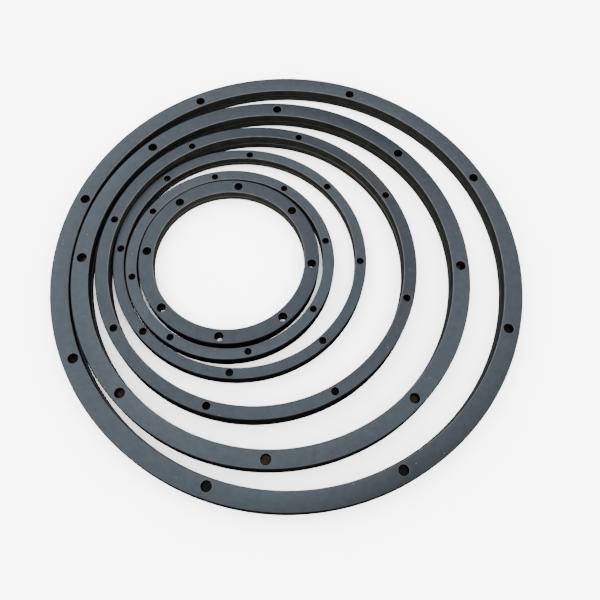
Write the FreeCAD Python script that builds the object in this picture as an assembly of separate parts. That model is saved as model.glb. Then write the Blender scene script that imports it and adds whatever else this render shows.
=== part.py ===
# Nested set of six thin slewing ring bearings, graduated in size and lying flat
# one inside the next.  Millimetres, +Z up.  The origin is on the resting plane
# at the axis of the largest bearing.
#
# Each bearing is an axial split pair: a lower (fixed) ring and an upper
# (turning) ring.  The upper ring is an L section, a flange the full width of the
# band with a short skirt at its outer edge.  The lower ring has an upstanding
# rib just inside that skirt.  A single row of balls in a cage runs in the two
# facing grooves of skirt and rib, so the pair carries thrust, radial and tilting
# load and cannot come apart.  A rubber bore seal closes the gap at the bore and
# a dust lip closes the gap outside.  The balls go in through a radial hole in the
# skirt, shut by a loading plug and its cross pin.  Eight plain holes in the
# upper ring stand over eight screw holes in the lower ring, which are tapped
# from below and stop short of its top face, except in the smallest bearing,
# where they go right through.

import FreeCAD, Part
import math
import os

# ---------------------------------------------------------------- dimensions
# name, centre x, centre y, outside dia, bore dia of upper ring, bore dia of
# lower ring, hole circle dia, height, access hole dia (upper), screw hole dia
# (lower), angle of the first hole, ball dia, ball count, metal behind the groove
# in the skirt, chamfer on the lower ring's bottom inner edge
BEARINGS = [
    ("bearing500",   0.0,  0.0, 500.0, 461.6, 458.4, 477.0, 17.0, 10.5, 5.0, 30.0, 3.0, 40, 1.8, 0.5),
    ("bearing422", -17.3, -3.0, 421.8, 385.2, 383.4, 403.4, 20.0, 10.5, 5.0,  2.3, 2.5, 34, 1.5, 0.5),
    ("bearing340", -33.4, -0.7, 340.0, 312.6, 312.6, 325.0, 22.5,  8.0, 3.3, 32.2, 2.5, 30, 1.4, 0.5),
    ("bearing272", -52.2,  5.2, 271.6, 247.9, 247.9, 258.2, 15.0,  7.8, 3.3,  0.4, 2.0, 26, 1.1, 1.5),
    ("bearing223", -62.4, -0.3, 223.1, 199.2, 199.2, 209.9, 16.0,  7.4, 3.3, 15.3, 2.0, 22, 1.2, 0.5),
    ("bearing194", -63.9,  1.1, 193.5, 162.0, 162.0, 177.7, 16.0,  9.6, 6.6, -1.1, 2.0, 18, 1.3, 0.5),
]
HOLES = 8                 # holes in each ring, equally spaced
LOWER_SHARE = 0.30        # height of the lower ring's base, share of the bearing height
FLANGE_UNDER_SHARE = 0.46 # height of the flange's underside, share of the bearing height
SKIRT_LIFT = 0.8          # gap under the skirt
RIB_CLEAR = 0.42          # rib top to flange underside
RIB_WEB = 0.35            # metal between the screw hole and the rib's inner wall, at least
RACE_GAP_SHARE = 0.5      # gap between skirt and rib, share of the ball diameter
BALL_LIFT = 0.10          # ball row above the base, at least
CAGE_CHANNEL = 1.2        # depth of the cage's channel in the base and in the flange
GROOVE_CLEAR = 0.05       # running clearance of a ball in its grooves
POCKET_CLEAR = 0.15       # clearance of a ball in its cage pocket, on the radius
CAGE_SIDE_CLEAR = 0.30    # cage to ring, each side, top and bottom
EDGE_CHAMFER = 0.6        # top edges of the upper ring
SKIRT_CHAMFER = 0.4       # bottom outer edge of the skirt
BASE_CHAMFER = 0.5        # outer bottom edge of the lower ring
LAND_CHAMFER = 0.3        # bore edges at the split
RIM_CHAMFER = 0.4         # rim of each access hole
REBATE_DEPTH = 0.8        # shadow rebate round the outside of the lower ring
REBATE_HEIGHT = 1.5
SEAL_INSET = 0.6          # bore seal, from the bore
SEAL_WIDTH = 0.8
SEAL_SEAT = 0.8           # depth of the seal's seat in the lower ring
SEAL_CLEAR = 0.42         # seal lip to the flange above it
TAP_ROOF = 1.15           # metal over a tapped hole in the lower ring
THROUGH = ("bearing194",)  # bearings whose lower holes go right through
LIP_WIDTH = 0.5           # dust lip
LIP_SEAT = 0.8
LIP_CLEAR = 0.35
PLUG_CLEAR = 0.02         # loading plug in its hole, on the radius
PLUG_SINK = 0.15          # plug face below the skirt's outside
PIN_DIA = 0.9             # cross pin through the plug
PLUG_ANGLE = 22.5         # from the first hole, so it sits midway between two holes

O = FreeCAD.Vector
UP = O(0, 0, 1)


def revolved(points, cx, cy):
    """Solid of revolution of an (r, z) polygon about the vertical axis at cx, cy."""
    pts = [O(cx + r, cy, z) for r, z in points]
    wire = Part.makePolygon(pts + [pts[0]])
    solid = Part.Face(wire).revolve(O(cx, cy, 0), UP, 360)
    if solid.ShapeType != "Solid":
        solid = Part.Solid(solid.Shells[0]) if solid.Shells else Part.Solid(Part.Shell(solid.Faces))
    if solid.Volume < 0:
        solid.reverse()
    return solid


def ring(cx, cy, r0, r1, z0, z1):
    """Plain rectangular ring."""
    return revolved([(r0, z0), (r1, z0), (r1, z1), (r0, z1)], cx, cy)


def one_solid(shape):
    solids = shape.Solids
    assert len(solids) == 1, len(solids)
    return solids[0]


def polar(cx, cy, r, angle, z):
    a = math.radians(angle)
    return O(cx + r * math.cos(a), cy + r * math.sin(a), z)


def make_bearing(name, cx, cy, od, bore, low_bore, pcd, height, access, screw, phase, ball, count, back, toe):
    ro, ri, rl, rp = od / 2, bore / 2, low_bore / 2, pcd / 2
    z1 = LOWER_SHARE * height            # top of the lower ring's base
    z2 = FLANGE_UNDER_SHARE * height     # underside of the flange
    zs = z1 + SKIRT_LIFT                 # bottom of the skirt
    zt = z2 - RIB_CLEAR                  # top of the rib
    zb = max((z1 + z2) / 2, z1 + ball / 2 + BALL_LIFT)  # ball centres
    rc = ro - back - ball / 2            # radius of the ball row
    gap = RACE_GAP_SHARE * ball
    rs, rw = rc + gap / 2, rc - gap / 2  # skirt inner wall, rib outer wall
    rt = rp + screw / 2 + RIB_WEB        # rib inner wall
    rt = max(rt, rw - 3.0)
    hole_angles = [phase + k * 360.0 / HOLES for k in range(HOLES)]
    groove = Part.makeTorus(rc, ball / 2 + GROOVE_CLEAR, O(cx, cy, zb), UP)
    plug_at = phase + PLUG_ANGLE
    a = math.radians(plug_at)
    outward = O(math.cos(a), math.sin(a), 0)
    nodes = {}

    # upper ring: flange and skirt
    c = EDGE_CHAMFER
    upper = revolved([
        (ri, z2 + LAND_CHAMFER), (ri + LAND_CHAMFER, z2), (rw, z2), (rw, z2 + CAGE_CHANNEL), (rs, z2 + CAGE_CHANNEL),
        (rs, zs), (ro - SKIRT_CHAMFER, zs),
        (ro, zs + SKIRT_CHAMFER), (ro, height - c), (ro - c, height), (ri + c, height), (ri, height - c)], cx, cy)
    cuts = [groove]
    for ang in hole_angles:
        p = polar(cx, cy, rp, ang, z2 - 2)
        cuts.append(Part.makeCylinder(access / 2, height, p, UP))
        q = polar(cx, cy, rp, ang, height - RIM_CHAMFER)
        cuts.append(Part.makeCone(access / 2, access / 2 + RIM_CHAMFER + 0.2, RIM_CHAMFER + 0.2, q, UP))
    plug_r = ball / 2 + 0.15
    cuts.append(Part.makeCylinder(plug_r, back + ball, polar(cx, cy, rc - 0.1, plug_at, zb), outward))
    pin_foot = polar(cx, cy, ro - back * 0.55, plug_at, zs + 0.15)
    pin_len = (z2 - zs) + 2.2
    cuts.append(Part.makeCylinder(PIN_DIA / 2, pin_len + 1.5, pin_foot - O(0, 0, 1.5), UP))
    upper = upper.cut(cuts)
    nodes["upper_ring"] = one_solid(upper)

    # lower ring: base, rib, seal seats, shadow rebate
    b = BASE_CHAMFER
    seat0, seat1 = ri + SEAL_INSET, ri + SEAL_INSET + SEAL_WIDTH
    lip1 = ro - REBATE_DEPTH - 0.1
    lip0 = lip1 - LIP_WIDTH
    lower = revolved([
        (rl + toe, 0), (ro - b, 0), (ro, b), (ro, z1 - REBATE_HEIGHT), (ro - REBATE_DEPTH, z1 - REBATE_HEIGHT),
        (ro - REBATE_DEPTH, z1), (rs, z1), (rs, z1 - CAGE_CHANNEL), (rw, z1 - CAGE_CHANNEL), (rw, zt), (rt, zt), (rt, z1),
        (rl + LAND_CHAMFER, z1),
        (rl, z1 - LAND_CHAMFER), (rl, toe)], cx, cy)
    cuts = [groove, ring(cx, cy, seat0, seat1, z1 - SEAL_SEAT, z1 + 0.1), ring(cx, cy, lip0, lip1, z1 - LIP_SEAT, z1 + 0.1)]
    deep = 1 + height if name in THROUGH else 1 + z1 - TAP_ROOF
    for ang in hole_angles:
        cuts.append(Part.makeCylinder(screw / 2, deep, polar(cx, cy, rp, ang, -1), UP))
    lower = lower.cut(cuts)
    nodes["lower_ring"] = one_solid(lower)

    # ball row
    balls = []
    for k in range(count):
        ang = plug_at + (k + 0.5) * 360.0 / count
        balls.append(Part.makeSphere(ball / 2, polar(cx, cy, rc, ang, zb)))
    nodes["balls"] = Part.makeCompound(balls)

    # cage: a thin band between skirt and rib, one pocket for each ball
    cr0, cr1 = rw + CAGE_SIDE_CLEAR, rs - CAGE_SIDE_CLEAR
    cz0, cz1 = z1 - CAGE_CHANNEL + CAGE_SIDE_CLEAR, z2 + CAGE_CHANNEL - CAGE_SIDE_CLEAR
    cage = ring(cx, cy, cr0, cr1, cz0, cz1)
    cuts = []
    for k in range(count):
        ang = plug_at + (k + 0.5) * 360.0 / count
        t = math.radians(ang)
        cuts.append(Part.makeCylinder(ball / 2 + POCKET_CLEAR, ball, polar(cx, cy, rc - ball / 2, ang, zb),
                                      O(math.cos(t), math.sin(t), 0)))
    cage = cage.cut(cuts)
    nodes["ball_cage"] = one_solid(cage)

    # bore seal and dust lip, both seated in the lower ring
    nodes["bore_seal"] = ring(cx, cy, seat0, seat1, z1 - SEAL_SEAT, z2 - SEAL_CLEAR)
    nodes["dust_lip"] = ring(cx, cy, lip0, lip1, z1 - LIP_SEAT, zs - LIP_CLEAR)

    # loading plug: it closes the notch in the skirt, its inner end carries the
    # groove, its foot is level with the skirt's, and a cross pin holds it
    plug = Part.makeCylinder(plug_r - PLUG_CLEAR, ro - PLUG_SINK - rs, polar(cx, cy, rs, plug_at, zb), outward)
    pin = Part.makeCylinder(PIN_DIA / 2 - 0.01, pin_len, pin_foot, UP)
    plug = plug.cut([groove, Part.makeCylinder(PIN_DIA / 2, pin_len + 3, pin_foot - O(0, 0, 1.5), UP)])
    trim = ring(cx, cy, rs, ro - PLUG_SINK, zs, zb + 5)
    nodes["loading_plug"] = one_solid(plug.common(trim))
    nodes["plug_pin"] = pin
    print(name, "z1 %.2f z2 %.2f rc %.2f skirt %.2f rib %.2f..%.2f groove floor %.2f screw edge %.2f cage %d solid(s) h %.2f t %.2f"
          % (z1, z2, rc, rs, rt, rw, rc - ball / 2 - GROOVE_CLEAR, rp + screw / 2, len(cage.Solids), cz1 - cz0, cr1 - cr0))
    return nodes


os.makedirs("parts", exist_ok=True)
for row in BEARINGS:
    for suffix, shape in make_bearing(*row).items():
        assert shape.isValid(), (row[0], suffix)
        shape.exportStep("parts/%s_%s.step" % (row[0], suffix))
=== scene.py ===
import bpy
import math
from mathutils import Vector, Matrix


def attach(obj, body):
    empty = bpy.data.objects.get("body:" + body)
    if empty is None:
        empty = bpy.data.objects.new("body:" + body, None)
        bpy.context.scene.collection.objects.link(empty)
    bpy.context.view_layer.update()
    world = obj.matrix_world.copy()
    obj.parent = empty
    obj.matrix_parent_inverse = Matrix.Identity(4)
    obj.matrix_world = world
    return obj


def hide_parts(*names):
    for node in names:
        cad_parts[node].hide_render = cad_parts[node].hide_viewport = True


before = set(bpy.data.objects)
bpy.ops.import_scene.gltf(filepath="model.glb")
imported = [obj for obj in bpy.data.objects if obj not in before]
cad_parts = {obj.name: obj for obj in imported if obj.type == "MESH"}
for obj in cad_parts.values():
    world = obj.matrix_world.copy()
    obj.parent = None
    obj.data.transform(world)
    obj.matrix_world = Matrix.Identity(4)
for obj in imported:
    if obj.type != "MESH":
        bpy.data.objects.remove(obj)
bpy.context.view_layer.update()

MM = 0.001

# ------------------------------------------------------------------ dimensions
# One row for each bearing, in millimetres: name, centre x, centre y, outside
# dia, bore dia of the upper ring, bore dia of the lower ring, hole circle dia,
# height, access hole dia, screw hole dia, angle of the first hole, ball dia,
# metal behind the groove, chamfer under the lower ring's bore.
BEARINGS = [
    ("bearing500",   0.0,  0.0, 500.0, 461.6, 458.4, 477.0, 17.0, 10.5, 5.0, 30.0, 3.0, 1.8, 0.5),
    ("bearing422", -17.3, -3.0, 421.8, 385.2, 383.4, 403.4, 20.0, 10.5, 5.0,  2.3, 2.5, 1.5, 0.5),
    ("bearing340", -33.4, -0.7, 340.0, 312.6, 312.6, 325.0, 22.5,  8.0, 3.3, 32.2, 2.5, 1.4, 0.5),
    ("bearing272", -52.2,  5.2, 271.6, 247.9, 247.9, 258.2, 15.0,  7.8, 3.3,  0.4, 2.0, 1.1, 1.5),
    ("bearing223", -62.4, -0.3, 223.1, 199.2, 199.2, 209.9, 16.0,  7.4, 3.3, 15.3, 2.0, 1.2, 0.5),
    ("bearing194", -63.9,  1.1, 193.5, 162.0, 162.0, 177.7, 16.0,  9.6, 6.6, -1.1, 2.0, 1.3, 0.5),
]
COLUMNS = 720          # columns round a ring
HOLE_STEPS = 48        # steps round a hole

# ------------------------------------------------------------------ camera
LENS = 40.22
DEPRESSION = math.radians(62.388)
ROLL = math.radians(3.291)
EYE = Vector((10.31, -302.59, 668.43)) * MM
SHIFT_Y = -0.1167


def make_camera():
    fwd = Vector((0, math.cos(DEPRESSION), -math.sin(DEPRESSION)))
    right = Vector((1, 0, 0))
    up = right.cross(fwd)
    c, s = math.cos(ROLL), math.sin(ROLL)
    r2 = c * right + s * up
    u2 = -s * right + c * up
    m = Matrix((r2, u2, -fwd)).transposed().to_4x4()
    m.translation = EYE
    data = bpy.data.cameras.new("photo_camera")
    data.sensor_width = 36.0
    data.lens = LENS
    data.shift_y = SHIFT_Y
    data.clip_start = 0.01
    data.clip_end = 50
    cam = bpy.data.objects.new("photo_camera", data)
    bpy.context.scene.collection.objects.link(cam)
    cam.matrix_world = m
    bpy.context.scene.camera = cam


make_camera()


# ------------------------------------------------------------------ profiles
def fillet(points, steps=5):
    """A closed outline of (r, z, radius) corners, each rounded to its radius. A
    fourth entry marks the corner's outgoing edge with a tag."""
    out, tags = [], []
    n = len(points)
    for i, p in enumerate(points):
        a, b, c = Vector(points[i - 1][:2]), Vector(p[:2]), Vector(points[(i + 1) % n][:2])
        rad = p[2]
        tag = p[3] if len(p) > 3 else None
        if rad <= 0:
            out.append((b.x, b.y)); tags.append(tag)
            continue
        u, v = (a - b).normalized(), (c - b).normalized()
        half = math.acos(max(-1, min(1, u.dot(v)))) / 2
        d = min(rad / math.tan(half), 0.45 * (a - b).length, 0.45 * (c - b).length)
        rr = d * math.tan(half)
        centre = b + (u + v).normalized() * (rr / math.sin(half))
        p0, p1 = b + u * d, b + v * d
        a0 = math.atan2(*(p0 - centre).yx)
        a1 = math.atan2(*(p1 - centre).yx)
        da = (a1 - a0 + math.pi) % (2 * math.pi) - math.pi
        k = max(2, round(steps * abs(da) / (math.pi / 2)))
        for j in range(k + 1):
            t = a0 + da * j / k
            out.append((centre.x + rr * math.cos(t), centre.y + rr * math.sin(t)))
            tags.append(tag if j == k else None)
    return out, tags


def minus_disc(points, tags, cx, cz, rad, step=math.radians(9)):
    """The outline less a disc whose rim crosses it an even number of times."""
    def inside(p):
        return math.hypot(p[0] - cx, p[1] - cz) < rad - 1e-9
    n = len(points)
    start = next(i for i in range(n) if not inside(points[i]))
    out, otags = [], []
    entry = None
    for s in range(n):
        i = (start + s) % n
        a, b = points[i], points[(i + 1) % n]
        if entry is None:
            out.append(a); otags.append(tags[i])
        dx, dz = b[0] - a[0], b[1] - a[1]
        fx, fz = a[0] - cx, a[1] - cz
        qa, qb, qc = dx * dx + dz * dz, 2 * (fx * dx + fz * dz), fx * fx + fz * fz - rad * rad
        disc = qb * qb - 4 * qa * qc
        if disc <= 0:
            continue
        roots = [(-qb - math.sqrt(disc)) / (2 * qa), (-qb + math.sqrt(disc)) / (2 * qa)]
        for t in roots:
            if not 1e-9 < t < 1 - 1e-9:
                continue
            q = (a[0] + t * dx, a[1] + t * dz)
            if entry is None:
                out.append(q); otags.append(None)
                entry = math.atan2(q[1] - cz, q[0] - cx)
            else:
                leave = math.atan2(q[1] - cz, q[0] - cx)
                da = (leave - entry + math.pi) % (2 * math.pi) - math.pi
                k = max(1, round(abs(da) / step))
                for j in range(1, k):
                    w = entry + da * j / k
                    out.append((cx + rad * math.cos(w), cz + rad * math.sin(w))); otags.append(None)
                out.append(q); otags.append(tags[i])
                entry = None
    return out, otags


class Build:
    """Collects vertices and faces of one mesh, in metres."""

    def __init__(self):
        self.verts, self.faces, self.mats = [], [], []

    def v(self, x, y, z):
        self.verts.append((x * MM, y * MM, z * MM))
        return len(self.verts) - 1

    def f(self, ids, mat=0):
        self.faces.append(ids)
        self.mats.append(mat)

    def object(self, name, materials):
        mesh = bpy.data.meshes.new(name)
        mesh.from_pydata(self.verts, [], self.faces)
        mesh.polygons.foreach_set("material_index", self.mats)
        for m in materials:
            mesh.materials.append(m)
        mesh.validate()
        mesh.update()
        o = bpy.data.objects.new(name, mesh)
        bpy.context.scene.collection.objects.link(o)
        return o


def ring_mesh(name, cx, cy, outline, tags, phase, holes, materials, mat_of):
    """Revolves the outline about the ring's own axis and pierces it with eight
    holes. The outline's edges tagged "top" and "under" are the flat faces the
    holes go through. holes = (circle radius, profile of the hole wall from the
    upper face down, as (radius, z), and True where the hole is blind, closed
    above by a flat roof)."""
    b = Build()
    n, cols = len(outline), COLUMNS
    rp, wall, blind = holes
    top = tags.index("top")
    under = tags.index("under")
    grid = []
    for j in range(cols):
        a = math.radians(phase) + 2 * math.pi * j / cols
        ca, sa = math.cos(a), math.sin(a)
        grid.append([b.v(cx + r * ca, cy + r * sa, z) for r, z in outline])
    per = cols // 8
    reach = max(wall[0][0], wall[-1][0])
    span = int(math.ceil(math.degrees(math.asin(reach / rp)) * cols / 360.0)) + 1
    near = set()
    for k in range(8):
        for j in range(-span, span):
            near.add((k * per + j) % cols)
    for j in range(cols):
        g0, g1 = grid[j], grid[(j + 1) % cols]
        for i in range(n):
            if (i == under or i == top and not blind) and j in near:
                continue
            i2 = (i + 1) % n
            b.f((g0[i], g1[i], g1[i2], g0[i2]), mat_of(i, outline))
    half = HOLE_STEPS // 2
    for k in range(8):
        a = math.radians(phase) + 2 * math.pi * k / 8
        hx, hy = cx + rp * math.cos(a), cy + rp * math.sin(a)
        rings = []
        for rad, z in wall:
            rings.append([b.v(hx + rad * math.cos(a + 2 * math.pi * t / HOLE_STEPS),
                              hy + rad * math.sin(a + 2 * math.pi * t / HOLE_STEPS), z) for t in range(HOLE_STEPS)])
        for q in range(len(rings) - 1):
            u, w = rings[q], rings[q + 1]
            # the rounded mouth of the hole takes the lighter edge material, a painted highlight; the wall below it
            # takes the near-black hole material, painted shade
            m = 2 if q < len(rings) - 1 and wall[q][1] > wall[0][1] - 0.6 and wall[q + 1][0] < wall[q][0] - 1e-6 else 3
            for t in range(HOLE_STEPS):
                t2 = (t + 1) % HOLE_STEPS
                b.f((u[t], u[t2], w[t2], w[t]), m)
        if blind:
            b.f(list(reversed(rings[0])), 3)
        for edge, ring, upward in ((top, rings[0], True), (under, rings[-1], False)):
            if upward and blind:
                continue
            e2 = (edge + 1) % n
            m = mat_of(edge, outline)
            # index of the end nearer the bore, and the end nearer the outside
            lo, hi = (edge, e2) if outline[edge][0] < outline[e2][0] else (e2, edge)
            c0 = k * per
            # the half on the side of growing angle, then the other half
            grow = [grid[(c0 + s) % cols] for s in range(0, span + 1)]
            fall = [grid[(c0 - s) % cols] for s in range(0, span + 1)]
            one = [g[hi] for g in grow] + [g[lo] for g in reversed(grow)] + [ring[t] for t in range(half, -1, -1)]
            two = [g[lo] for g in fall] + [g[hi] for g in reversed(fall)] + [ring[t % HOLE_STEPS] for t in range(HOLE_STEPS, half - 1, -1)]
            if not upward:
                one.reverse(); two.reverse()
            b.f(one, m); b.f(two, m)
    return b.object(name, materials)


# ------------------------------------------------------------------ materials
def group_nodes(name, cx, cy):
    """A material with the coordinates that every finish here starts from: the place about the ring's own axis, in
    millimetres. The finishes work out radius and angle from it themselves."""
    m = bpy.data.materials.new(name)
    m.use_nodes = True
    t = m.node_tree
    t.nodes.clear()
    out = t.nodes.new("ShaderNodeOutputMaterial")
    bsdf = t.nodes.new("ShaderNodeBsdfPrincipled")
    t.links.new(bsdf.outputs["BSDF"], out.inputs["Surface"])
    tc = t.nodes.new("ShaderNodeTexCoord")
    mm = t.nodes.new("ShaderNodeVectorMath"); mm.operation = "SCALE"
    mm.inputs["Scale"].default_value = 1000.0
    t.links.new(tc.outputs["Object"], mm.inputs[0])
    sub = t.nodes.new("ShaderNodeVectorMath"); sub.operation = "SUBTRACT"
    sub.inputs[1].default_value = (cx, cy, 0)
    t.links.new(mm.outputs[0], sub.inputs[0])
    return m, t, bsdf, sub.outputs[0]


def noise(t, vec, scale, detail=4.0, rough=0.55, dims="3D", w=None):
    n = t.nodes.new("ShaderNodeTexNoise")
    n.noise_dimensions = dims
    n.inputs["Scale"].default_value = scale
    n.inputs["Detail"].default_value = detail
    n.inputs["Roughness"].default_value = rough
    if vec is not None:
        t.links.new(vec, n.inputs["Vector"])
    if w is not None:
        t.links.new(w, n.inputs["W"])
    return n.outputs["Fac"]


def ramp(t, fac, stops):
    r = t.nodes.new("ShaderNodeValToRGB")
    e = r.color_ramp.elements
    while len(e) > 1:
        e.remove(e[-1])
    e[0].position, e[0].color = stops[0][0], (*stops[0][1], 1)
    for p, c in stops[1:]:
        x = e.new(p)
        x.color = (*c, 1)
    t.links.new(fac, r.inputs["Fac"])
    return r.outputs["Color"]


def mathn(t, op, a, b=None, clamp=False):
    n = t.nodes.new("ShaderNodeMath"); n.operation = op; n.use_clamp = clamp
    for k, x in enumerate((a, b)):
        if x is None:
            continue
        if isinstance(x, (int, float)):
            n.inputs[k].default_value = x
        else:
            t.links.new(x, n.inputs[k])
    return n.outputs[0]


def mix(t, fac, a, b, kind="MIX"):
    n = t.nodes.new("ShaderNodeMix"); n.data_type = "RGBA"; n.blend_type = kind
    for key, x in (("Factor", fac), ("A", a), ("B", b)):
        sock = [i for i in n.inputs if i.name == key and i.enabled][0] if key == "Factor" else [i for i in n.inputs if i.name == key and i.type == "RGBA"][0]
        if isinstance(x, (int, float)):
            sock.default_value = x
        elif isinstance(x, tuple):
            sock.default_value = (*x, 1)
        else:
            t.links.new(x, sock)
    return [o for o in n.outputs if o.type == "RGBA"][0]


def radius_of(t, vec):
    flat = t.nodes.new("ShaderNodeVectorMath"); flat.operation = "MULTIPLY"
    flat.inputs[1].default_value = (1, 1, 0)
    t.links.new(vec, flat.inputs[0])
    ln = t.nodes.new("ShaderNodeVectorMath"); ln.operation = "LENGTH"
    t.links.new(flat.outputs[0], ln.inputs[0])
    return ln.outputs["Value"]


def bump(t, bsdf, height, strength, distance):
    n = t.nodes.new("ShaderNodeBump")
    n.inputs["Strength"].default_value = strength
    n.inputs["Distance"].default_value = distance
    t.links.new(height, n.inputs["Height"])
    t.links.new(n.outputs["Normal"], bsdf.inputs["Normal"])


def face_finish_with_painted_sheen(tag, cx, cy, ri, ro):
    """Turned and blackened top face: slate, satin, faint turning lines, oil mottling, a few pale specks of dust and
    rubbed places. Its tone is also lightened and darkened round the face and across its width: painted reflection and
    shade."""
    m, t, bsdf, vec = group_nodes("black_oxide_face_" + tag, cx, cy)
    r = radius_of(t, vec)
    lines = noise(t, None, 1.9, 3.0, 0.65, "1D", r)
    cloud = noise(t, vec, 0.018, 3.0, 0.5)
    mottle = noise(t, vec, 0.16, 5.0, 0.62)
    grain = noise(t, vec, 1.6, 3.0, 0.7)
    base = ramp(t, mottle, [(0.30, FACE_DARK), (0.5, FACE_MID), (0.72, FACE_LIGHT)])
    base = mix(t, mathn(t, "MULTIPLY", cloud, 0.5), base, FACE_COOL)
    fine = ramp(t, mathn(t, "ADD", mathn(t, "MULTIPLY", lines, 0.6), mathn(t, "MULTIPLY", grain, 0.4)),
                [(0.35, (0.86, 0.86, 0.86)), (0.65, (1.12, 1.12, 1.12))])
    base = mix(t, 1.0, base, fine, "MULTIPLY")
    # painted reflection and shade: tone raised and lowered by angle round the face, blended from beside the bore to
    # beside the outside
    sep = t.nodes.new("ShaderNodeSeparateXYZ")
    t.links.new(vec, sep.inputs[0])
    turn = mathn(t, "DIVIDE", mathn(t, "ARCTAN2", sep.outputs["Y"], sep.outputs["X"]), 2 * math.pi)
    turn = mathn(t, "ADD", turn, mathn(t, "MULTIPLY", mathn(t, "SUBTRACT", cloud, 0.5), 0.03))
    turn = mathn(t, "FRACT", mathn(t, "ADD", turn, 1.0))
    near, far = [ramp(t, turn, [(k / 12.0, (x[k % 12],) * 3) for k in range(13)]) for x in PAINTED_SHEEN_AND_SHADE[tag]]
    across = mathn(t, "DIVIDE", mathn(t, "SUBTRACT", r, ri), ro - ri, True)
    base = mix(t, 1.0, base, mix(t, across, near, far), "MULTIPLY")
    vor = t.nodes.new("ShaderNodeTexVoronoi")
    vor.inputs["Scale"].default_value = 0.11
    t.links.new(vec, vor.inputs["Vector"])
    speck = mathn(t, "LESS_THAN", vor.outputs["Distance"], 0.030)
    base = mix(t, mathn(t, "MULTIPLY", speck, 0.35), base, (0.30, 0.31, 0.31))
    t.links.new(base, bsdf.inputs["Base Color"])
    bsdf.inputs["Metallic"].default_value = FACE_METAL
    rough = mathn(t, "ADD", mathn(t, "MULTIPLY", mottle, 0.16), mathn(t, "MULTIPLY", lines, 0.08))
    t.links.new(mathn(t, "ADD", rough, FACE_ROUGH - 0.12), bsdf.inputs["Roughness"])
    bsdf.inputs["Specular IOR Level"].default_value = FACE_SPEC
    bsdf.inputs["Specular Tint"].default_value = (0.6, 0.6, 0.6, 1)
    bump(t, bsdf, mathn(t, "ADD", mathn(t, "MULTIPLY", lines, 0.7), mathn(t, "MULTIPLY", grain, 0.5)), 0.25, 0.00006)
    return m


def seat_and_painted_shade_wall(tag, cx, cy, dark, light, foot_brown):
    """Turned walls and the seats under the flange, mottled in the colours given and browner towards the foot. The
    inner and outer walls' colours are far darker than the faces of the same steel: painted shade.
    """
    m, t, bsdf, vec = group_nodes("black_oxide_" + tag, cx, cy)
    sep = t.nodes.new("ShaderNodeSeparateXYZ")
    t.links.new(vec, sep.inputs[0])
    z = sep.outputs["Z"]
    lines = noise(t, None, 2.6, 3.0, 0.7, "1D", z)
    mottle = noise(t, vec, 0.09, 5.0, 0.6)
    grain = noise(t, vec, 1.2, 3.0, 0.7)
    foot = mathn(t, "SUBTRACT", 1.0, mathn(t, "DIVIDE", z, 9.0), True)
    brown = mathn(t, "MULTIPLY", foot, mottle, True)
    base = ramp(t, mottle, [(0.3, dark), (0.7, light)])
    base = mix(t, brown, base, foot_brown)
    fine = ramp(t, mathn(t, "ADD", mathn(t, "MULTIPLY", lines, 0.5), mathn(t, "MULTIPLY", grain, 0.5)),
                [(0.35, (0.75, 0.75, 0.75)), (0.65, (1.2, 1.2, 1.2))])
    base = mix(t, 1.0, base, fine, "MULTIPLY")
    t.links.new(base, bsdf.inputs["Base Color"])
    bsdf.inputs["Metallic"].default_value = 0.0
    t.links.new(mathn(t, "ADD", mathn(t, "MULTIPLY", grain, 0.25), 0.50), bsdf.inputs["Roughness"])
    bsdf.inputs["Specular IOR Level"].default_value = WALL_SPEC
    bump(t, bsdf, mathn(t, "ADD", lines, grain), 0.3, 0.00008)
    return m


def edge_painted_highlight(tag, cx, cy):
    """Chamfers and hole rims, lighter than the faces: a painted highlight."""
    m, t, bsdf, vec = group_nodes("edge_highlight_" + tag, cx, cy)
    edge_patches = noise(t, vec, 0.12, 6.0, 0.65)
    grain = noise(t, vec, 2.2, 2.0, 0.6)
    base = ramp(t, edge_patches, [(0.38, EDGE_DARK), (0.5, EDGE_MID), (0.68, EDGE_LIGHT)])
    fine = ramp(t, grain, [(0.35, (0.85, 0.85, 0.85)), (0.65, (1.15, 1.15, 1.15))])
    base = mix(t, 1.0, base, fine, "MULTIPLY")
    t.links.new(base, bsdf.inputs["Base Color"])
    bsdf.inputs["Metallic"].default_value = 0.7
    t.links.new(mathn(t, "ADD", mathn(t, "MULTIPLY", edge_patches, 0.2), 0.30), bsdf.inputs["Roughness"])
    bump(t, bsdf, grain, 0.15, 0.00005)
    return m


def hole_painted_shade(tag, cx, cy):
    """Drilled walls, nearly black: painted shade, with the drill's rings."""
    m, t, bsdf, vec = group_nodes("drilled_hole_shade_" + tag, cx, cy)
    sep = t.nodes.new("ShaderNodeSeparateXYZ")
    t.links.new(vec, sep.inputs[0])
    rings = noise(t, None, 3.0, 2.0, 0.6, "1D", sep.outputs["Z"])
    grain = noise(t, vec, 1.5, 3.0, 0.6)
    base = ramp(t, mathn(t, "ADD", mathn(t, "MULTIPLY", rings, 0.5), mathn(t, "MULTIPLY", grain, 0.5)),
                [(0.35, (0.0007, 0.0007, 0.0008)), (0.65, (0.0022, 0.0022, 0.0024))])
    t.links.new(base, bsdf.inputs["Base Color"])
    t.links.new(mathn(t, "ADD", mathn(t, "MULTIPLY", grain, 0.2), 0.45), bsdf.inputs["Roughness"])
    bsdf.inputs["Specular IOR Level"].default_value = 0.0
    bump(t, bsdf, rings, 0.3, 0.00008)
    return m


FACE_DARK, FACE_MID, FACE_LIGHT = (0.0108, 0.0126, 0.0143), (0.0131, 0.0152, 0.0175), (0.0157, 0.0181, 0.0206)
FACE_COOL = (0.0126, 0.0157, 0.0190)
FACE_METAL, FACE_ROUGH, FACE_SPEC = 1.0, 0.50, 0.3
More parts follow.
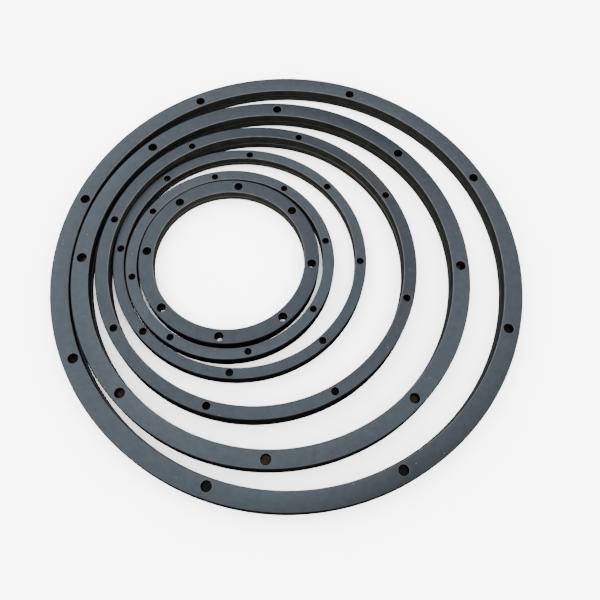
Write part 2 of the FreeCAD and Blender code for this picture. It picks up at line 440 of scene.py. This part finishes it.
# painted reflection and shade: how far each top face is lightened or darkened, every 30 degrees round it, beside the
# bore and beside the outside
PAINTED_SHEEN_AND_SHADE = {
    "500": ((1.06, 1.13, 1.24, 1.18, 1.17, 1.05, 0.97, 1.07, 1.10, 1.23, 0.93, 1.00),
            (1.02, 0.97, 0.94, 0.93, 1.18, 1.18, 1.16, 1.10, 1.02, 0.81, 0.56, 0.83)),
    "422": ((1.11, 0.99, 0.90, 1.01, 1.02, 1.02, 1.09, 1.19, 1.27, 1.17, 1.17, 1.12),
            (1.11, 0.89, 0.55, 0.64, 0.99, 1.23, 1.12, 1.05, 1.11, 1.08, 0.96, 1.10)),
    "340": ((0.81, 0.86, 0.79, 0.76, 0.93, 0.97, 1.01, 0.97, 0.96, 1.03, 1.07, 0.93),
            (0.81, 0.86, 0.79, 0.76, 0.93, 0.97, 1.01, 0.97, 0.96, 1.03, 1.07, 0.93)),
    "272": ((0.98, 1.13, 1.20, 1.14, 1.04, 0.99, 0.99, 0.95, 0.97, 1.02, 1.02, 1.02),
            (1.08, 1.12, 1.15, 1.07, 1.05, 1.22, 1.23, 1.03, 1.03, 1.01, 0.98, 1.01)),
    "223": ((1.12, 1.05, 1.09, 1.20, 1.27, 1.11, 1.07, 1.10, 1.03, 1.00, 1.03, 1.12),
            (1.12, 1.17, 1.09, 1.06, 1.11, 1.10, 1.18, 1.19, 1.19, 1.27, 1.28, 1.11)),
    "194": ((0.96, 1.01, 1.02, 1.06, 1.07, 1.00, 1.01, 1.01, 1.01, 0.89, 0.96, 0.97),
            (0.88, 0.89, 0.89, 0.96, 1.00, 1.04, 0.97, 0.97, 0.97, 0.94, 0.96, 0.91)),
}
# inner walls (WALL) and outer walls and outer chamfers (RIM) are far darker than the faces of the same steel: painted
# shade; each is browner towards the foot
WALL_DARK, WALL_LIGHT, WALL_BROWN = (0.0032, 0.0034, 0.0030), (0.0066, 0.0066, 0.0055), (0.0120, 0.0088, 0.0050)
RIM_DARK, RIM_LIGHT, RIM_BROWN = (0.0008, 0.0008, 0.0009), (0.0022, 0.0022, 0.0022), (0.0030, 0.0025, 0.0020)
SEAT = ((0.0035, 0.0041, 0.0040), (0.0100, 0.0112, 0.0100), (0.0150, 0.0135, 0.0105))
# the 422 bearing's seats, seen at the foot of its access holes, are browner
SEAT_BROWN = ((0.012, 0.010, 0.0075), (0.040, 0.031, 0.022), (0.070, 0.047, 0.031))
WALL_SPEC = 0.0
# chamfers and hole rims, lighter than the faces: a painted highlight
EDGE_DARK, EDGE_MID, EDGE_LIGHT = (0.011, 0.0125, 0.014), (0.0155, 0.0172, 0.0192), (0.024, 0.026, 0.0285)


# ------------------------------------------------------------------ rings
def cut(obj, cutter_build):
    """Cuts one closed shape out of obj, and leaves plain mesh."""
    c = cutter_build.object("cutter", [])
    mod = obj.modifiers.new("cut", "BOOLEAN")
    mod.operation = "DIFFERENCE"
    mod.solver = "EXACT"
    mod.object = c
    mod.material_mode = "INDEX"
    dg = bpy.context.evaluated_depsgraph_get()
    mesh = bpy.data.meshes.new_from_object(obj.evaluated_get(dg))
    obj.modifiers.clear()
    old = obj.data
    mesh.name = obj.name
    obj.data = mesh
    bpy.data.meshes.remove(old)
    bpy.data.objects.remove(c)


def rod(b, origin, axis, radius, length, steps=40):
    """A closed round bar, for cutting."""
    axis = Vector(axis).normalized()
    side = axis.orthogonal().normalized()
    other = axis.cross(side)
    o = Vector(origin)
    a, c = [], []
    for k in range(steps):
        w = 2 * math.pi * k / steps
        p = o + (side * math.cos(w) + other * math.sin(w)) * radius
        q = p + axis * length
        a.append(b.v(*p)); c.append(b.v(*q))
    for k in range(steps):
        k2 = (k + 1) % steps
        b.f((a[k], a[k2], c[k2], c[k]), 1)
    b.f(tuple(reversed(a)), 1)
    b.f(tuple(c), 1)


def smooth(obj, angle=28.0):
    """Smooth shading with the real corners kept sharp, and flat faces kept flat."""
    mesh = obj.data
    mesh.shade_smooth()
    mesh.set_sharp_from_angle(angle=math.radians(angle))
    w = obj.modifiers.new("normals", "WEIGHTED_NORMAL")
    w.mode = "FACE_AREA"
    w.weight = 50
    w.keep_sharp = True


def build_bearing(row):
    name, cx, cy, od, bore, low_bore, pcd, height, access, screw, phase, ball, back, toe = row
    tag = name.replace("bearing", "")
    ro, ri, rl, rp = od / 2, bore / 2, low_bore / 2, pcd / 2
    z1, z2 = 0.30 * height, 0.46 * height
    zs, zt = z1 + 0.8, z2 - 0.42
    zb = max((z1 + z2) / 2, z1 + ball / 2 + 0.10)
    rc = ro - back - ball / 2
    rs, rw = rc + ball / 4, rc - ball / 4
    rt = max(rp + screw / 2 + 0.35, rw - 3.0)
    g = ball / 2 + 0.05
    # 0: top faces, with painted reflection and shade; 1 and 4: inner and outer walls, near black, painted shade; 2:
    #    inner chamfers and hole rims, lighter, a painted highlight; 3: drilled holes, near black, painted shade; 5:
    #    seats
    mats = [face_finish_with_painted_sheen(tag, cx, cy, ri, ro), seat_and_painted_shade_wall("wall_" + tag, cx, cy, WALL_DARK, WALL_LIGHT, WALL_BROWN),
            edge_painted_highlight(tag, cx, cy), hole_painted_shade(tag, cx, cy),
            seat_and_painted_shade_wall("rim_" + tag, cx, cy, RIM_DARK, RIM_LIGHT, RIM_BROWN),
            seat_and_painted_shade_wall("seat_" + tag, cx, cy, *(SEAT_BROWN if tag == "422" else SEAT))]

    def side(i, outline):
        a, b = outline[i], outline[(i + 1) % len(outline)]
        dr, dz = b[0] - a[0], b[1] - a[1]
        nz = -dr / max(1e-9, math.hypot(dr, dz))
        outward = dz > 0 and (a[0] + b[0]) / 2 > rp
        # inner chamfer: the lighter edge material, a painted highlight; outer wall and outer chamfer: the near-black
        # rim material, painted shade; other walls: the near-black wall material, painted shade
        if min(a[1], b[1]) > height - 0.75 and nz > 0.2:
            return 0 if nz > 0.985 else 4 if outward else 2
        return 4 if outward else 1

    def low_side(i, outline):
        a, b = outline[i], outline[(i + 1) % len(outline)]
        if a[1] > z1 - 0.2 and b[1] > z1 - 0.2 and abs(a[1] - b[1]) < 0.05 and (a[0] + b[0]) / 2 < ri + 1:
            return 0
        if a[1] > z1 - 0.05 and b[1] > z1 - 0.05 and ri + 1 < (a[0] + b[0]) / 2 < rt:
            return 5
        # outer wall: the near-black rim material, painted shade; other walls: the near-black wall material, painted
        # shade
        return 4 if b[1] > a[1] and (a[0] + b[0]) / 2 > rp else 1

    c = 0.6
    pts = [(ri, z2 + 0.3, 0), (ri + 0.3, z2, 0, "under"), (rw, z2, 0), (rw, z2 + 1.2, 0.15), (rs, z2 + 1.2, 0.15),
           (rs, zs, 0), (ro - 0.4, zs, 0.15), (ro, zs + 0.4, 0.15), (ro, height - c, 0.35), (ro - c, height, 0.35, "top"),
           (ri + c, height, 0.35), (ri, height - c, 0.35)]
    outline, tags = fillet(pts)
    outline, tags = minus_disc(outline, tags, rc, zb, g)
    rim = 0.4
    wall = [(access / 2 + rim, height), (access / 2 + rim * 0.72, height - rim * 0.12), (access / 2 + rim * 0.35, height - rim * 0.46),
            (access / 2 + rim * 0.08, height - rim * 0.86), (access / 2, height - rim * 1.15), (access / 2, (height + z2) / 2), (access / 2, z2)]
    upper = ring_mesh(name + "_upper_ring_finished", cx, cy, outline, tags, phase, (rp, wall, False), mats, side)
    a = math.radians(phase + 22.5)
    out = (math.cos(a), math.sin(a), 0)
    notch = Build()
    rod(notch, (cx + (rc - 0.1) * out[0], cy + (rc - 0.1) * out[1], zb), out, ball / 2 + 0.15, back + ball)
    cut(upper, notch)
    pin = Build()
    pr = ro - back * 0.55
    rod(pin, (cx + pr * out[0], cy + pr * out[1], zs - 1.4), (0, 0, 1), 0.45, (z2 - zs) + 3.75, 24)
    cut(upper, pin)
    smooth(upper)
    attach(upper, "upper_" + tag)
    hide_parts(name + "_upper_ring")

    b = 0.5
    seat0, seat1 = ri + 0.6, ri + 1.4
    lip1 = ro - 0.9
    lip0 = lip1 - 0.5
    pts = [(rl + toe, 0, 0.15, "under"), (ro - b, 0, 0.15), (ro, b, 0.15), (ro, z1 - 1.5, 0.15), (ro - 0.8, z1 - 1.5, 0),
           (ro - 0.8, z1, 0), (lip1, z1, 0), (lip1, z1 - 0.8, 0), (lip0, z1 - 0.8, 0), (lip0, z1, 0), (rs, z1, 0), (rs, z1 - 1.2, 0),
           (rw, z1 - 1.2, 0), (rw, zt, 0.1), (rt, zt, 0.1), (rt, z1, 0, "top"), (seat1, z1, 0), (seat1, z1 - 0.8, 0), (seat0, z1 - 0.8, 0),
           (seat0, z1, 0), (rl + 0.3, z1, 0.12), (rl, z1 - 0.3, 0.12), (rl, toe, 0.15)]
    outline, tags = fillet(pts)
    outline, tags = minus_disc(outline, tags, rc, zb, g)
    blind = name != "bearing194"
    roof = z1 - 1.15 if blind else z1
    wall = [(screw / 2, roof), (screw / 2, roof / 2), (screw / 2, 0)]
    lower = ring_mesh(name + "_lower_ring_finished", cx, cy, outline, tags, phase, (rp, wall, blind), mats, low_side)
    smooth(lower)
    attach(lower, "lower_" + tag)
    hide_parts(name + "_lower_ring")
    return mats


for row in BEARINGS:
    build_bearing(row)


# ------------------------------------------------------------------ small pieces
def rubber():
    m, t, bsdf, vec = group_nodes("seal_rubber", 0, 0)
    n = noise(t, vec, 0.8, 4.0, 0.6)
    t.links.new(ramp(t, n, [(0.3, (0.0025, 0.0025, 0.0025)), (0.7, (0.007, 0.0068, 0.0065))]), bsdf.inputs["Base Color"])
    t.links.new(mathn(t, "ADD", mathn(t, "MULTIPLY", n, 0.2), 0.6), bsdf.inputs["Roughness"])
    bsdf.inputs["Specular IOR Level"].default_value = 0.12
    bump(t, bsdf, n, 0.3, 0.0001)
    return m


def nylon():
    m, t, bsdf, vec = group_nodes("cage_nylon", 0, 0)
    n = noise(t, vec, 0.5, 4.0, 0.6)
    t.links.new(ramp(t, n, [(0.3, (0.50, 0.47, 0.38)), (0.7, (0.62, 0.59, 0.50))]), bsdf.inputs["Base Color"])
    t.links.new(mathn(t, "ADD", mathn(t, "MULTIPLY", n, 0.2), 0.4), bsdf.inputs["Roughness"])
    bsdf.inputs["Subsurface Weight"].default_value = 0.0
    bump(t, bsdf, n, 0.2, 0.0001)
    return m


def ball_steel():
    m, t, bsdf, vec = group_nodes("ball_steel", 0, 0)
    n = noise(t, vec, 2.0, 3.0, 0.6)
    t.links.new(ramp(t, n, [(0.3, (0.60, 0.61, 0.63)), (0.7, (0.70, 0.71, 0.73))]), bsdf.inputs["Base Color"])
    bsdf.inputs["Metallic"].default_value = 1.0
    t.links.new(mathn(t, "ADD", mathn(t, "MULTIPLY", n, 0.08), 0.08), bsdf.inputs["Roughness"])
    return m


def plug_steel():
    m, t, bsdf, vec = group_nodes("plug_steel", 0, 0)
    n = noise(t, vec, 1.5, 4.0, 0.6)
    t.links.new(ramp(t, n, [(0.3, (0.030, 0.033, 0.037)), (0.7, (0.060, 0.064, 0.070))]), bsdf.inputs["Base Color"])
    bsdf.inputs["Metallic"].default_value = 0.8
    t.links.new(mathn(t, "ADD", mathn(t, "MULTIPLY", n, 0.2), 0.35), bsdf.inputs["Roughness"])
    bump(t, bsdf, n, 0.2, 0.00005)
    return m


SMALL = {"bore_seal": rubber(), "dust_lip": None, "ball_cage": nylon(), "balls": ball_steel(), "loading_plug": plug_steel(), "plug_pin": None}
SMALL["dust_lip"] = SMALL["bore_seal"]
SMALL["plug_pin"] = SMALL["loading_plug"]
for row in BEARINGS:
    for suffix, mat in SMALL.items():
        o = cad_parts[row[0] + "_" + suffix]
        if not o.data.materials:
            o.data.materials.append(mat)
        for s in o.material_slots:
            s.link = "OBJECT"
            s.material = mat


# ------------------------------------------------------------------ stage
def stage():
    m, t, bsdf, vec = group_nodes("pale_floor", 0, 0)
    n = noise(t, vec, 0.01, 3.0, 0.5)
    t.links.new(ramp(t, n, [(0.3, (0.925, 0.925, 0.922)), (0.7, (0.945, 0.945, 0.942))]), bsdf.inputs["Base Color"])
    bsdf.inputs["Roughness"].default_value = 0.9
    bsdf.inputs["Specular IOR Level"].default_value = 0.1
    b = Build()
    size = 6000
    ids = [b.v(x, y, -0.3) for x, y in ((-size, -size), (size, -size), (size, size), (-size, size))]
    b.f(ids)
    b.object("floor", [m])


stage()


def area(name, place, target, size, power, colour):
    data = bpy.data.lights.new(name, "AREA")
    data.shape = "RECTANGLE"
    data.size, data.size_y = size
    data.energy = power
    data.color = colour
    o = bpy.data.objects.new(name, data)
    bpy.context.scene.collection.objects.link(o)
    d = (Vector(target) - Vector(place)).normalized()
    o.rotation_euler = d.to_track_quat("-Z", "Y").to_euler()
    o.location = place


world = bpy.data.worlds.new("studio")
world.use_nodes = True
world.node_tree.nodes["Background"].inputs["Color"].default_value = (1.0, 1.0, 1.0, 1)
world.node_tree.nodes["Background"].inputs["Strength"].default_value = 8.0
bpy.context.scene.world = world
area("softbox_left", (-1.7, 0.9, 2.0), (0, 0, 0), (2.0, 1.6), 70, (1.0, 1.0, 1.0))

bpy.context.view_layer.update()
